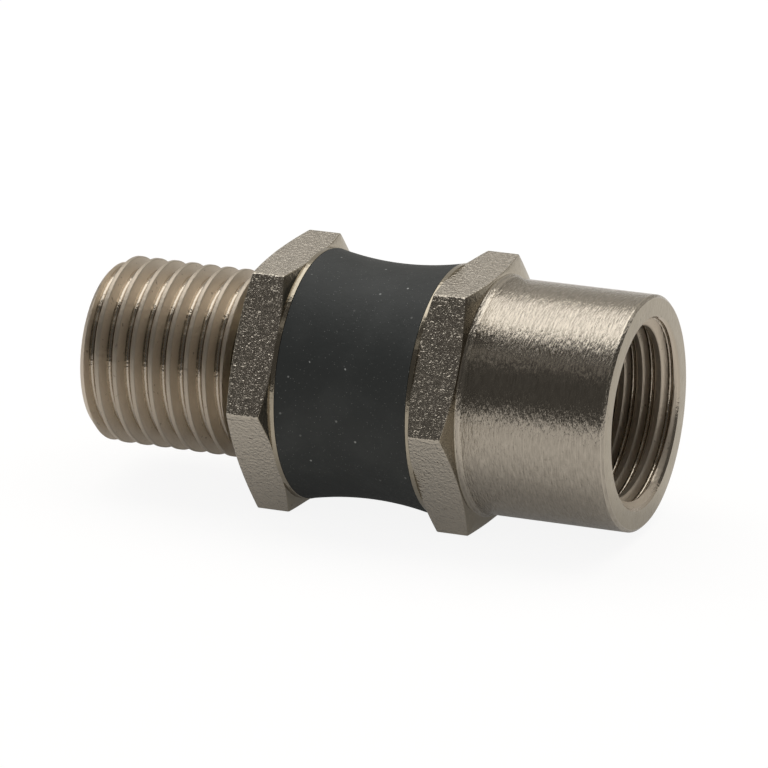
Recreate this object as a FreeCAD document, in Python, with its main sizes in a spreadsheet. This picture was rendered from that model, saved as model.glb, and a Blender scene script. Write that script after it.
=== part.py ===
import FreeCAD, Part
import os

import Sketcher

# Small threaded rubber expansion joint.
# The flow axis is X: the threaded spigot points to -X and the threaded sleeve opens to +X.
# Two flats of each hexagon face up and down (Z). The origin is the middle of the whole length.
# Lengths are in millimetres and angles in degrees.

SIZES = {
    # parallel pipe thread of 55 degree form
    "thread_pitch": 1.337,
    "thread_major_radius": 6.5785,
    "thread_half_angle": 27.5,
    "thread_lead_in": 0.75,
    "groove_overcut": 0.1,
    # threaded spigot
    "male_thread_length": 12.35,
    "male_crest_cut": 0.1285,
    "male_end_step": 0.08,
    "male_end_chamfer": 0.7,
    "male_bore_chamfer": 0.3,
    "neck_margin": 0.02,
    "neck_step": 0.12,
    # threaded sleeve
    "sleeve_length": 10.55,
    "sleeve_wall": 1.3,
    "sleeve_edge_chamfer": 0.25,
    "sleeve_root_step": 0.3,
    "female_crest_cut": 0.1775,
    "mouth_margin": 0.02,
    "mouth_chamfer": 0.7,
    "female_thread_depth": 12.0,
    "relief_width": 1.5,
    "relief_step": 0.1715,
    # wrench hexagons of the two end fittings
    "hex_rise_over_sleeve": 0.45,
    "hex_corner_rounding": 0.025,
    "hex_cut_margin": 1.0,
    "male_hex_width": 3.0,
    "female_hex_width": 3.05,
    "hex_face_inset": 0.1,
    "male_face_chamfer": 0.34,
    "female_face_chamfer": 0.46,
    "rubber_side_chamfer": 0.35,
    "rubber_side_step": 0.1,
    # round collar that the rubber is moulded against
    "collar_proud": 0.03,
    "collar_thickness": 0.33,
    # spigot with a lip, buried in the rubber
    "flow_bore_radius": 4.0,
    "spigot_length": 1.5,
    "spigot_wall": 1.2,
    "lip_height": 0.65,
    "lip_thickness": 0.5,
    # moulded rubber body, from the inside out
    "rubber_length": 9.54,
    "bond_line": 0.03,
    "liner_over_lip": 0.42,
    "ply_thickness": 0.25,
    "ply_end_gap": 0.2,
    "cover_over_ring": 0.9,
    "waist_depth": 0.52,
    # wire rings that hold the plies down on the spigots
    "ring_wire_radius": 0.4,
    "ring_from_collar": 0.62,
}

# Height of a thread of this form for each millimetre of pitch.
FORM_HEIGHT = 0.640327
SECTORS = 8
HEX_CORNERS = 6
MALE_THREAD_START = 109.8
FEMALE_THREAD_START = 171.9
VOLUME_STEP = 0.001

document = FreeCAD.newDocument("expansion_joint")


def make_sheet():
    """The table of driving sizes, one named cell each."""
    sheet = document.addObject("Spreadsheet::Sheet", "Sizes")
    for row, (alias, number) in enumerate(SIZES.items(), start=1):
        sheet.set(f"A{row}", alias)
        sheet.set(f"B{row}", str(number))
        sheet.setAlias(f"B{row}", alias)
    document.recompute()
    return sheet


sheet = make_sheet()


def of(alias):
    """How one size is written in a formula."""
    return f"Sizes.{alias}"


def worked_out(formula):
    """The number a formula gives now."""
    return float(sheet.evalExpression(formula))


# Radii that follow from the driving sizes, from the flow bore outward.
SPIGOT_RADIUS = f"({of('flow_bore_radius')} + {of('spigot_wall')})"
LIP_RADIUS = f"({SPIGOT_RADIUS} + {of('lip_height')})"
LINER_RADIUS = f"({LIP_RADIUS} + {of('bond_line')} + {of('liner_over_lip')})"
PLY_INNER = f"({LINER_RADIUS} + {of('bond_line')})"
PLY_STEP = f"({of('ply_thickness')} + {of('bond_line')})"
COVER_INNER = f"({PLY_INNER} + 2 * {PLY_STEP})"
RING_CENTRE = f"({COVER_INNER} + {of('ring_wire_radius')})"
RING_POCKET = f"({of('ring_wire_radius')} + {of('bond_line')})"
RUBBER_END_RADIUS = f"({RING_CENTRE} + {RING_POCKET} + {of('cover_over_ring')})"
COLLAR_RADIUS = f"({RUBBER_END_RADIUS} + {of('collar_proud')})"
RUBBER_SIDE_CIRCLE = f"({COLLAR_RADIUS} + {of('rubber_side_step')})"

# Radii of the thread, and of the sleeve and the hexagons that stand on it.
THREAD_HEIGHT = f"({FORM_HEIGHT} * {of('thread_pitch')})"
THREAD_ROOT = f"({of('thread_major_radius')} - {THREAD_HEIGHT})"
PITCH_RADIUS = f"({of('thread_major_radius')} - {THREAD_HEIGHT} / 2)"
MALE_CREST = f"({of('thread_major_radius')} - {of('male_crest_cut')})"
MALE_NECK = f"({THREAD_ROOT} - {of('neck_step')})"
FEMALE_CREST = f"({THREAD_ROOT} + {of('female_crest_cut')})"
MOUTH_RADIUS = f"({of('thread_major_radius')} + {of('mouth_margin')})"
RELIEF_RADIUS = f"({of('thread_major_radius')} + {of('relief_step')})"
SLEEVE_RADIUS = f"({RELIEF_RADIUS} + {of('sleeve_wall')})"
HEX_FLAT = f"({SLEEVE_RADIUS} + {of('hex_rise_over_sleeve')})"
HEX_CORNER = f"({HEX_FLAT} * 2 / sqrt(3))"
HEX_BLANK = f"({HEX_CORNER} - {of('hex_corner_rounding')})"
HEX_FACE_CIRCLE = f"({HEX_FLAT} - {of('hex_face_inset')})"

# Places along the flow axis, each measured from the outer end of its own fitting.
MALE_HEX_START = of("male_thread_length")
MALE_HEX_END = f"({MALE_HEX_START} + {of('male_hex_width')})"
MALE_COLLAR_END = f"({MALE_HEX_END} + {of('collar_thickness')})"
FEMALE_HEX_START = of("sleeve_length")
FEMALE_HEX_END = f"({FEMALE_HEX_START} + {of('female_hex_width')})"
FEMALE_COLLAR_END = f"({FEMALE_HEX_END} + {of('collar_thickness')})"
WHOLE_LENGTH = f"({MALE_COLLAR_END} + {of('rubber_length')} + {FEMALE_COLLAR_END})"


def plane_of(body, role):
    """One of a body's own base planes."""
    return next(item for item in body.Origin.OriginFeatures if item.Role == role)


def new_body(name):
    body = document.addObject("PartDesign::Body", name)
    body.Label = name
    return body


def new_sketch(body, name, role):
    sketch = body.newObject("Sketcher::SketchObject", name)
    sketch.AttachmentSupport = (plane_of(body, role), [""])
    sketch.MapMode = "FlatFace"
    return sketch


def tie(sketch, kind, geometry, point, formula):
    """Holds one coordinate of a point at a formula."""
    number = worked_out(formula)
    index = sketch.addConstraint(
        Sketcher.Constraint(kind, -1, 1, geometry, point, number)
    )
    sketch.setExpression(f"Constraints[{index}]", formula)


def draw_loop(sketch, points, arc_centres=None):
    """A closed loop through points given as pairs of formulas.

    arc_centres gives, for a stretch that is an arc turning left, the height of its centre.
    """
    arc_centres = arc_centres or {}
    places = [FreeCAD.Vector(worked_out(x), worked_out(y), 0) for x, y in points]
    count = len(places)
    first = sketch.GeometryCount
    for index, start in enumerate(places):
        end = places[(index + 1) % count]
        if index in arc_centres:
            middle = (start + end) * 0.5
            centre = FreeCAD.Vector(middle.x, worked_out(arc_centres[index]), 0)
            radius = (start - centre).Length
            leaving = FreeCAD.Vector(1, 0, 0).getAngle(start - centre)
            arriving = FreeCAD.Vector(1, 0, 0).getAngle(end - centre)
            if (start - centre).y < -1e-9:
                leaving, arriving = -leaving, -arriving
            circle = Part.Circle(centre, FreeCAD.Vector(0, 0, 1), radius)
            sketch.addGeometry(Part.ArcOfCircle(circle, leaving, arriving), False)
        else:
            sketch.addGeometry(Part.LineSegment(start, end), False)
    for index in range(count):
        after = first + (index + 1) % count
        sketch.addConstraint(
            Sketcher.Constraint("Coincident", first + index, 2, after, 1)
        )
    for index, (x, y) in enumerate(points):
        for kind, axis, formula in (("DistanceX", -2, x), ("DistanceY", -1, y)):
            if abs(worked_out(formula)) < 1e-9:
                sketch.addConstraint(
                    Sketcher.Constraint("PointOnObject", first + index, 1, axis)
                )
            else:
                tie(sketch, kind, first + index, 1, formula)
    for index, formula in arc_centres.items():
        tie(sketch, "DistanceY", first + index, 3, formula)


def revolve_sector(body, name, sketch):
    """One sector of the outline round the flow axis, repeated to close the circle."""
    sector = body.newObject("PartDesign::Revolution", f"{name}_sector")
    sector.Profile = (sketch, [""])
    sector.ReferenceAxis = (sketch, ["H_Axis"])
    sector.Angle = 360.0 / SECTORS
    sector.Refine = False
    sketch.Visibility = False
    document.recompute()
    around = body.newObject("PartDesign::PolarPattern", f"{name}_around")
    around.Originals = [sector]
    around.Axis = (sketch, ["H_Axis"])
    around.Angle = 360.0
    around.Occurrences = SECTORS
    around.Refine = False
    body.Tip = around
    document.recompute()
    return around


def revolve_whole(body, name, sketch):
    """A full turn of the outline round the flow axis."""
    whole = body.newObject("PartDesign::Revolution", f"{name}_turned")
    whole.Profile = (sketch, [""])
    whole.ReferenceAxis = (sketch, ["H_Axis"])
    whole.Angle = 360.0
    sketch.Visibility = False
    document.recompute()
    return whole


def add_circle(sketch, radius_formula, construction):
    """A circle about the flow axis."""
    radius = worked_out(radius_formula)
    circle = Part.Circle(FreeCAD.Vector(0, 0, 0), FreeCAD.Vector(0, 0, 1), radius)
    index = sketch.addGeometry(circle, construction)
    sketch.addConstraint(Sketcher.Constraint("Coincident", index, 3, -1, 1))
    number = sketch.addConstraint(Sketcher.Constraint("Radius", index, radius))
    sketch.setExpression(f"Constraints[{number}]", radius_formula)
    return index


def cut_hexagon(body, name, start_formula, width_formula):
    """Cuts the six flats in the round blank, between two planes across the flow axis."""
    sketch = new_sketch(body, f"{name}_hexagon", "YZ_Plane")
    sketch.setExpression("AttachmentOffset.Base.z", start_formula)
    corner = worked_out(HEX_CORNER)
    guide = add_circle(sketch, HEX_CORNER, True)
    turns = FreeCAD.Rotation(FreeCAD.Vector(0, 0, 1), 360.0 / HEX_CORNERS)
    corners = [FreeCAD.Vector(corner, 0, 0)]
    for _ in range(HEX_CORNERS - 1):
        corners.append(turns.multVec(corners[-1]))
    first = sketch.GeometryCount
    for index, start in enumerate(corners):
        end = corners[(index + 1) % HEX_CORNERS]
        sketch.addGeometry(Part.LineSegment(start, end), False)
    for index in range(HEX_CORNERS):
        after = first + (index + 1) % HEX_CORNERS
        sketch.addConstraint(
            Sketcher.Constraint("Coincident", first + index, 2, after, 1)
        )
        sketch.addConstraint(
            Sketcher.Constraint("PointOnObject", first + index, 1, guide)
        )
        if index:
            sketch.addConstraint(Sketcher.Constraint("Equal", first, first + index))
    sketch.addConstraint(Sketcher.Constraint("PointOnObject", first, 1, -1))
    margin = f"{HEX_CORNER} + {of('hex_cut_margin')}"
    add_circle(sketch, margin, False)
    document.recompute()
    before = body.Shape.Volume
    pocket = body.newObject("PartDesign::Pocket", f"{name}_flats")
    pocket.Profile = (sketch, [""])
    pocket.Type = 0
    pocket.setExpression("Length", width_formula)
    pocket.Reversed = True
    pocket.Refine = False
    sketch.Visibility = False
    document.recompute()
    if before - pocket.Shape.Volume < VOLUME_STEP:
        raise ValueError(f"{name}: the flats were not cut")
    return pocket


def groove_half_width(radius_formula):
    """Half the width of the thread groove at a radius outside the pitch line."""
    spread = f"({radius_formula} - {PITCH_RADIUS}) * tan({of('thread_half_angle')})"
    return f"({of('thread_pitch')} / 4 + {spread})"


def bore_groove_half_width(radius_formula):
    """Half the width of an internal thread groove, which opens towards the axis."""
    spread = f"({PITCH_RADIUS} - {radius_formula}) * tan({of('thread_half_angle')})"
    return f"({of('thread_pitch')} / 4 + {spread})"


def cut_thread(body, name, wide_radius, deep_radius, half_width, reach, start_angle):
    """A right-hand helical groove that starts in front of the end face and ends at reach."""
    middle = half_width(wide_radius)
    sketch = new_sketch(body, f"{name}_groove", "XY_Plane")
    turned = FreeCAD.Rotation(FreeCAD.Vector(1, 0, 0), start_angle)
    sketch.AttachmentOffset = FreeCAD.Placement(FreeCAD.Vector(0, 0, 0), turned)
    back = f"-({of('thread_lead_in')} + {middle})"
    sketch.setExpression("AttachmentOffset.Base.x", back)
    document.recompute()
    points = [
        ("0.0 * " + middle, wide_radius),
        (f"{middle} - {half_width(deep_radius)}", deep_radius),
        (f"{middle} + {half_width(deep_radius)}", deep_radius),
        (f"2 * {middle}", wide_radius),
    ]
    draw_loop(sketch, points)
    document.recompute()
    before = body.Shape.Volume
    helix = body.newObject("PartDesign::SubtractiveHelix", f"{name}_thread")
    helix.Profile = (sketch, [""])
    helix.ReferenceAxis = (sketch, ["H_Axis"])
    helix.Mode = 0
    helix.setExpression("Pitch", of("thread_pitch"))
    helix.setExpression("Height", f"{reach} - {middle} + {of('thread_lead_in')}")
    helix.Angle = 0.0
    helix.LeftHanded = False
    helix.Reversed = False
    helix.Refine = False
    sketch.Visibility = False
    document.recompute()
    if before - helix.Shape.Volume < VOLUME_STEP:
        raise ValueError(f"{name}: the thread was not cut")
    return helix


def spigot_points(collar_end):
    """The buried spigot: stem, then the lip the rubber hooks round, then the bore."""
    lip_start = f"{collar_end} + {of('spigot_length')} - {of('lip_thickness')}"
    spigot_end = f"{collar_end} + {of('spigot_length')}"
    return [
        (collar_end, SPIGOT_RADIUS),
        (lip_start, SPIGOT_RADIUS),
        (lip_start, LIP_RADIUS),
        (spigot_end, LIP_RADIUS),
        (spigot_end, of("flow_bore_radius")),
    ]


def hex_points(hex_start, face_chamfer, hex_end, collar_end):
    """The blank of a hexagon with a cone on each side, and the round collar next to it."""
    return [
        (hex_start, HEX_FACE_CIRCLE),
        (f"{hex_start} + {face_chamfer}", HEX_BLANK),
        (f"{hex_end} - {of('rubber_side_chamfer')}", HEX_BLANK),
        (hex_end, RUBBER_SIDE_CIRCLE),
        (hex_end, COLLAR_RADIUS),
        (collar_end, COLLAR_RADIUS),
    ]


def make_male_fitting():
    """Metal end with the external thread. Its own x = 0 is the end face of the thread."""
    body = new_body("male_end_fitting")
    sketch = new_sketch(body, "male_outline", "XY_Plane")
    groove_top = f"({MALE_CREST} + {of('groove_overcut')})"
    half_groove = groove_half_width(groove_top)
    neck_width = f"(2 * {half_groove} + {of('neck_margin')})"
    neck_start = f"({MALE_HEX_START} - {neck_width})"
    rise = f"({MALE_CREST} - {MALE_NECK}) / 3"
    points = [
        ("0.0", f"{of('flow_bore_radius')} + {of('male_bore_chamfer')}"),
        ("0.0", f"{THREAD_ROOT} + {of('male_end_step')}"),
        (of("male_end_chamfer"), MALE_CREST),
        (f"{neck_start} - {rise}", MALE_CREST),
        (neck_start, MALE_NECK),
        (MALE_HEX_START, MALE_NECK),
    ]
    points += hex_points(
        MALE_HEX_START, of("male_face_chamfer"), MALE_HEX_END, MALE_COLLAR_END
    )
    points += spigot_points(MALE_COLLAR_END)
    points.append((of("male_bore_chamfer"), of("flow_bore_radius")))
    draw_loop(sketch, points)
    revolve_sector(body, "male_blank", sketch)
    cut_hexagon(body, "male", MALE_HEX_START, of("male_hex_width"))
    reach = f"{MALE_HEX_START} - {of('neck_margin')} / 2 - {half_groove}"
    cut_thread(
        body,
        "male",
        groove_top,
        THREAD_ROOT,
        groove_half_width,
        reach,
        MALE_THREAD_START,
    )
    body.setExpression("Placement.Base.x", f"-{WHOLE_LENGTH} / 2")
    return body


def make_female_fitting():
    """Metal end with the threaded sleeve. Its own x = 0 is the mouth of the sleeve."""
    body = new_body("female_end_fitting")
    sketch = new_sketch(body, "female_outline", "XY_Plane")
    step = of("sleeve_root_step")
    relief_end = of("female_thread_depth")
    relief_start = f"{relief_end} - {of('relief_width')}"
    rise = f"({RELIEF_RADIUS} - {FEMALE_CREST}) / 3"
    points = [
        ("0.0", MOUTH_RADIUS),
        ("0.0", f"{SLEEVE_RADIUS} - {of('sleeve_edge_chamfer')}"),
        (of("sleeve_edge_chamfer"), SLEEVE_RADIUS),
        (f"{FEMALE_HEX_START} - {step}", SLEEVE_RADIUS),
        (FEMALE_HEX_START, f"{SLEEVE_RADIUS} + {step} * 0.8"),
    ]
    points += hex_points(
        FEMALE_HEX_START,
        of("female_face_chamfer"),
        FEMALE_HEX_END,
        FEMALE_COLLAR_END,
    )
    points += spigot_points(FEMALE_COLLAR_END)
    points += [
        (relief_end, of("flow_bore_radius")),
        (relief_end, RELIEF_RADIUS),
        (relief_start, RELIEF_RADIUS),
        (f"{relief_start} - {rise}", FEMALE_CREST),
        (of("mouth_chamfer"), FEMALE_CREST),
    ]
    draw_loop(sketch, points)
    revolve_sector(body, "female_blank", sketch)
    cut_hexagon(body, "female", FEMALE_HEX_START, of("female_hex_width"))
    groove_top = f"({FEMALE_CREST} - {of('groove_overcut')})"
    half_groove = bore_groove_half_width(groove_top)
    reach = f"{relief_end} - {of('neck_margin')} / 2 - {half_groove}"
    cut_thread(
        body,
        "female",
        groove_top,
        of("thread_major_radius"),
        bore_groove_half_width,
        reach,
        FEMALE_THREAD_START,
    )
    half_turn = FreeCAD.Rotation(FreeCAD.Vector(0, 0, 1), 180)
    body.Placement = FreeCAD.Placement(FreeCAD.Vector(0, 0, 0), half_turn)
    body.setExpression("Placement.Base.x", f"{WHOLE_LENGTH} / 2")
    return body


def place_on_male_collar(body):
    """Stands a moulded piece on the face of the male collar, where its own x = 0 is."""
    body.setExpression("Placement.Base.x", f"{MALE_COLLAR_END} - {WHOLE_LENGTH} / 2")
    return body


def make_liner():
    """Inner rubber tube that carries the flow and hooks round both lips."""
    body = new_body("rubber_liner")
    sketch = new_sketch(body, "liner_outline", "XY_Plane")
    gap = of("bond_line")
    full = of("rubber_length")
    near_lip = f"({of('spigot_length')} - {of('lip_thickness')} - {gap})"
    past_lip = f"({of('spigot_length')} + {gap})"
    stem = f"{SPIGOT_RADIUS} + {gap}"
    lip = f"{LIP_RADIUS} + {gap}"
    points = [
        (gap, LINER_RADIUS),
        (f"{full} - {gap}", LINER_RADIUS),
        (f"{full} - {gap}", stem),
        (f"{full} - {near_lip}", stem),
        (f"{full} - {near_lip}", lip),
        (f"{full} - {past_lip}", lip),
        (f"{full} - {past_lip}", of("flow_bore_radius")),
        (past_lip, of("flow_bore_radius")),
        (past_lip, lip),
        (near_lip, lip),
        (near_lip, stem),
        (gap, stem),
    ]
    draw_loop(sketch, points)
    revolve_whole(body, "liner", sketch)
    return place_on_male_collar(body)


def make_ply(name, layer):
    """One woven layer of the carcass, counted outward from the liner."""
    body = new_body(name)
    sketch = new_sketch(body, f"{name}_outline", "XY_Plane")
    inner = f"{PLY_INNER} + {layer} * {PLY_STEP}"
    outer = f"{inner} + {of('ply_thickness')}"
    far = f"{of('rubber_length')} - {of('ply_end_gap')}"
    points = [
        (of("ply_end_gap"), outer),
        (far, outer),
        (far, inner),
        (of("ply_end_gap"), inner),
    ]
    draw_loop(sketch, points)
    revolve_whole(body, name, sketch)
    return place_on_male_collar(body)


def make_ring(name, along):
    """A closed wire ring round the carcass, at a distance along the rubber."""
    body = new_body(name)
    sketch = new_sketch(body, f"{name}_section", "XY_Plane")
    centre = FreeCAD.Vector(worked_out(along), worked_out(RING_CENTRE), 0)
    wire = worked_out(of("ring_wire_radius"))
    circle = Part.Circle(centre, FreeCAD.Vector(0, 0, 1), wire)
    index = sketch.addGeometry(circle, False)
    tie(sketch, "DistanceX", index, 3, along)
    tie(sketch, "DistanceY", index, 3, RING_CENTRE)
    number = sketch.addConstraint(Sketcher.Constraint("Radius", index, wire))
    sketch.setExpression(f"Constraints[{number}]", of("ring_wire_radius"))
    revolve_whole(body, name, sketch)
    return place_on_male_collar(body)


def make_cover():
    """Outer rubber with the gentle waist, and a round-topped pocket for each wire ring."""
    body = new_body("rubber_cover")
    sketch = new_sketch(body, "cover_outline", "XY_Plane")
    gap = of("bond_line")
    full = of("rubber_length")
    near = of("ring_from_collar")
    half = f"({full} / 2 - {gap})"
    sag = of("waist_depth")
    waist_arc = f"(({half} ^ 2 + {sag} ^ 2) / (2 * {sag}))"
    points = [
        (gap, RUBBER_END_RADIUS),
        (f"{full} - {gap}", RUBBER_END_RADIUS),
        (f"{full} - {gap}", COVER_INNER),
        (f"{full} - {near} + {RING_POCKET}", COVER_INNER),
        (f"{full} - {near} + {RING_POCKET}", RING_CENTRE),
        (f"{full} - {near} - {RING_POCKET}", RING_CENTRE),
        (f"{full} - {near} - {RING_POCKET}", COVER_INNER),
        (f"{near} + {RING_POCKET}", COVER_INNER),
        (f"{near} + {RING_POCKET}", RING_CENTRE),
        (f"{near} - {RING_POCKET}", RING_CENTRE),
        (f"{near} - {RING_POCKET}", COVER_INNER),
        (gap, COVER_INNER),
    ]
    arc_centres = {
        0: f"{RUBBER_END_RADIUS} - {sag} + {waist_arc}",
        4: RING_CENTRE,
        8: RING_CENTRE,
    }
    draw_loop(sketch, points, arc_centres)
    revolve_whole(body, "cover", sketch)
    return place_on_male_collar(body)


NEAR_RING = of("ring_from_collar")
FAR_RING = f"{of('rubber_length')} - {of('ring_from_collar')}"

bodies = [
    make_male_fitting(),
    make_female_fitting(),
    make_liner(),
    make_ply("inner_fabric_ply", 0),
    make_ply("outer_fabric_ply", 1),
    make_ring("male_bead_ring", NEAR_RING),
    make_ring("female_bead_ring", FAR_RING),
    make_cover(),
]
document.recompute()

# Every step has to be sound before a file is written.
for item in document.Objects:
    if "Invalid" in item.State or "Error" in item.State:
        raise ValueError(f"{item.Name} is in state {item.State}")
for body in bodies:
    shape = body.Shape
    if shape.isNull() or not shape.isValid() or len(shape.Solids) != 1:
        raise ValueError(f"{body.Label} is not one sound solid")

os.makedirs("parts", exist_ok=True)
for body in bodies:
    body.Shape.exportStep(f"parts/{body.Label}.step")
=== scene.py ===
"""Looks of a small threaded rubber expansion joint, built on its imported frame.

Lengths inside this file are millimetres in the row frame, and are turned into metres where a mesh is
written. The flow axis is X, from the male thread to the female thread, and Z is up.
"""

import logging
import math
from dataclasses import dataclass, field
from enum import Enum
from typing import Callable

import bmesh
import bpy
import numpy as np
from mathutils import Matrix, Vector


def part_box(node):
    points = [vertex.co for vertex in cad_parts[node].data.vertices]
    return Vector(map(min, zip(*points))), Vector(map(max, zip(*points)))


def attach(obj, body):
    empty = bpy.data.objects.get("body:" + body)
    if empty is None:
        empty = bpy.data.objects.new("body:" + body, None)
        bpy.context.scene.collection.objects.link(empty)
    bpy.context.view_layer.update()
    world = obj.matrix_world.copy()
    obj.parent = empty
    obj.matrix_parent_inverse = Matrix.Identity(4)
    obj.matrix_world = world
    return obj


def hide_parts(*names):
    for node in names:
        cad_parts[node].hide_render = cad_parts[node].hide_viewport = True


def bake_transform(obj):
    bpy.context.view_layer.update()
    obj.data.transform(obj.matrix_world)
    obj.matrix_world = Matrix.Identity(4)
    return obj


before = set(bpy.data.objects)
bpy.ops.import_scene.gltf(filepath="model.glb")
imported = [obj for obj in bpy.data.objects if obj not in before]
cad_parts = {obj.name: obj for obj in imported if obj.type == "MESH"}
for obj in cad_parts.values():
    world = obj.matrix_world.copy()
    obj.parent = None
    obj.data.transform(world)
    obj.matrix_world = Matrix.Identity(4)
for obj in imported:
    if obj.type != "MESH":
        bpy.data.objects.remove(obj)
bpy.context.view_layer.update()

logging.basicConfig(level=logging.INFO, format="%(name)s: %(message)s")
log = logging.getLogger("expansion_joint")

MM = 0.001
Point = tuple[float, float]
Grid = np.ndarray
Side = Callable[[float, float], list[Point]]
Colour = tuple[float, float, float, float]
Value = float | bpy.types.NodeSocket
Tint = Colour | bpy.types.NodeSocket


class Body(str, Enum):
    """Rigid bodies of the frame, from the male end to the female end."""

    MALE_END = "male_end"
    LINER = "liner"
    INNER_PLY = "inner_ply"
    OUTER_PLY = "outer_ply"
    COVER = "cover"
    BEAD = "bead"
    FEMALE_END = "female_end"


class Slot(str, Enum):
    """Material slots of the record."""

    METAL = "nickel_plated_brass"
    COVER = "cover_rubber"
    LINER = "liner_rubber"
    FABRIC = "carcass_fabric"
    WIRE = "bead_wire"


class Zone(int, Enum):
    """Kinds of surface on an end fitting, in the order of its material slots."""

    TURNED = 0
    FLAT = 1
    CONE = 2
    THREAD = 3
    BORE = 4


def node_box(name: str) -> tuple[Vector, Vector]:
    """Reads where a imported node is.

    Args:
        name: The node's name.

    Returns:
        Its lowest and highest corner in millimetres.
    """
    low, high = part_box(name)
    return Vector(low) / MM, Vector(high) / MM


MALE_BOX = node_box("male_end_fitting")
FEMALE_BOX = node_box("female_end_fitting")
COVER_BOX = node_box("rubber_cover")
LINER_BOX = node_box("rubber_liner")
INNER_PLY_BOX = node_box("inner_fabric_ply")
OUTER_PLY_BOX = node_box("outer_fabric_ply")
MALE_RING_BOX = node_box("male_bead_ring")
FEMALE_RING_BOX = node_box("female_bead_ring")

BOND_GAP = 0.03
RUBBER_START = COVER_BOX[0].x - BOND_GAP
RUBBER_END = COVER_BOX[1].x + BOND_GAP
RUBBER_MIDDLE = (RUBBER_START + RUBBER_END) / 2
WAIST_DEPTH = 0.52

FINE_EDGE = 0.03
COLLAR_EDGE = 0.04
CLEAN_EDGE = 0.05
HEX_EDGE = 0.07
NECK_EDGE = 0.12
ROOT_EDGE = 0.15
RUNOUT_SLOPE = 2.6

FORM_HEIGHT_SHARE = 0.640327
FORM_ROUNDING_SHARE = 0.137329
THREAD_ARC_ROWS = 8
THREAD_FLANK_ROWS = 4

MERGE_DISTANCE = 0.0004
SLIVER_LENGTH = 0.0002
FITTING_SHARP_ANGLE = 38
TURNED_SHARP_ANGLE = 40
SHORTEST_STRETCH = 0.01


@dataclass(frozen=True)
class ThreadForm:
    """A 55 degree pipe thread with rounded crests and roots.

    Attributes:
        pitch: Distance between crests.
        major_radius: Radius of the full form's outer rounding.
        half_angle: Angle between a flank and a plane across the axis, in degrees.
        start: Place of a crest at angle 0, along X.
    """

    pitch: float = 1.337
    major_radius: float = 6.5785
    half_angle: float = 27.5
    start: float = 0.0

    @property
    def height(self) -> float:
        """Radial height of the full form."""
        return FORM_HEIGHT_SHARE * self.pitch

    @property
    def rounding(self) -> float:
        """Radius of the crest and root rounding."""
        return FORM_ROUNDING_SHARE * self.pitch

    @property
    def minor_radius(self) -> float:
        """Radius of the full form's inner rounding."""
        return self.major_radius - self.height

    def steps(self, arc_steps: int, flank_steps: int) -> np.ndarray:
        """Spreads rows over one pitch, close together on the roundings.

        Args:
            arc_steps: Rows on each rounding.
            flank_steps: Rows on each flank.

        Returns:
            Rising offsets from a crest, starting at 0 and ending before one pitch.
        """
        turn = math.radians(90 - self.half_angle)
        reach = self.rounding * math.sin(turn)
        half = self.pitch / 2
        arc = self.rounding * np.sin(np.linspace(-turn, turn, arc_steps + 1))
        flank = np.linspace(reach, half - reach, flank_steps + 1)[1:-1]
        one = np.concatenate([arc, flank, half + arc, half + flank])
        return np.sort(one % self.pitch)

    def radius(self, x: Grid, angle: Grid) -> Grid:
        """Works out the full form at places on the thread.

        Args:
            x: Places along the axis.
            angle: Angles round the axis, in radians.

        Returns:
            The radius at each place.
        """
        turn = math.radians(90 - self.half_angle)
        reach = self.rounding * math.sin(turn)
        drop = self.rounding * (1 - math.cos(turn))
        phase = (x - self.start) / self.pitch - angle / (2 * math.pi)
        offset = np.abs((phase + 0.5) % 1.0 - 0.5) * self.pitch
        slope = 1.0 / math.tan(math.radians(self.half_angle))
        on_crest = self.major_radius - self.rounding
        on_crest = on_crest + np.sqrt(np.maximum(self.rounding**2 - offset**2, 0.0))
        from_root = self.pitch / 2 - offset
        in_root = self.minor_radius + self.rounding
        in_root = in_root - np.sqrt(np.maximum(self.rounding**2 - from_root**2, 0.0))
        on_flank = self.major_radius - drop - (offset - reach) * slope
        result = np.where(offset < reach, on_crest, on_flank)
        return np.where(from_root < reach, in_root, result)


def soft_min(a: Grid, b: Grid, blend: float) -> Grid:
    """Takes the smaller of two surfaces, with a rounded edge where they cross.

    Args:
        a: First values.
        b: Second values.
        blend: Width of the rounding.

    Returns:
        The rounded smaller value.
    """
    share = np.clip(0.5 + 0.5 * (b - a) / blend, 0.0, 1.0)
    return b * (1 - share) + a * share - blend * share * (1 - share)


def soft_max(a: Grid, b: Grid, blend: float) -> Grid:
    """Takes the larger of two surfaces, with a rounded edge where they cross.

    Args:
        a: First values.
        b: Second values.
        blend: Width of the rounding.

    Returns:
        The rounded larger value.
    """
    return -soft_min(-a, -b, blend)


def column_angles() -> np.ndarray:
    """Spreads the columns round the axis, close together at the hexagon's corners.

    Returns:
        Rising angles from +Y towards +Z, in radians, starting at 0.
    """
    near_corner = [0.0, 0.25, 0.5, 0.8, 1.2, 1.9, 3.2]
    half = near_corner + list(np.arange(5.0, 30.0, 2.0))
    sector = half + [60.0 - a for a in reversed(half[1:])]
    whole = [a + 60.0 * side for side in range(6) for a in sector]
    return np.radians(np.array(whole))


ANGLES = column_angles()


@dataclass(frozen=True)
class Corner:
    """A point of an outline, which can differ from column to column.

    Attributes:
        x: Place along the axis, one value or one for each column.
        r: Radius, one value or one for each column.
        soft: How far from the point the edge starts to turn.
        zone: Surface kind of the stretch that follows the point.
    """

    x: float | Grid
    r: float | Grid
    soft: float = 0.0
    zone: Zone = Zone.TURNED


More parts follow.
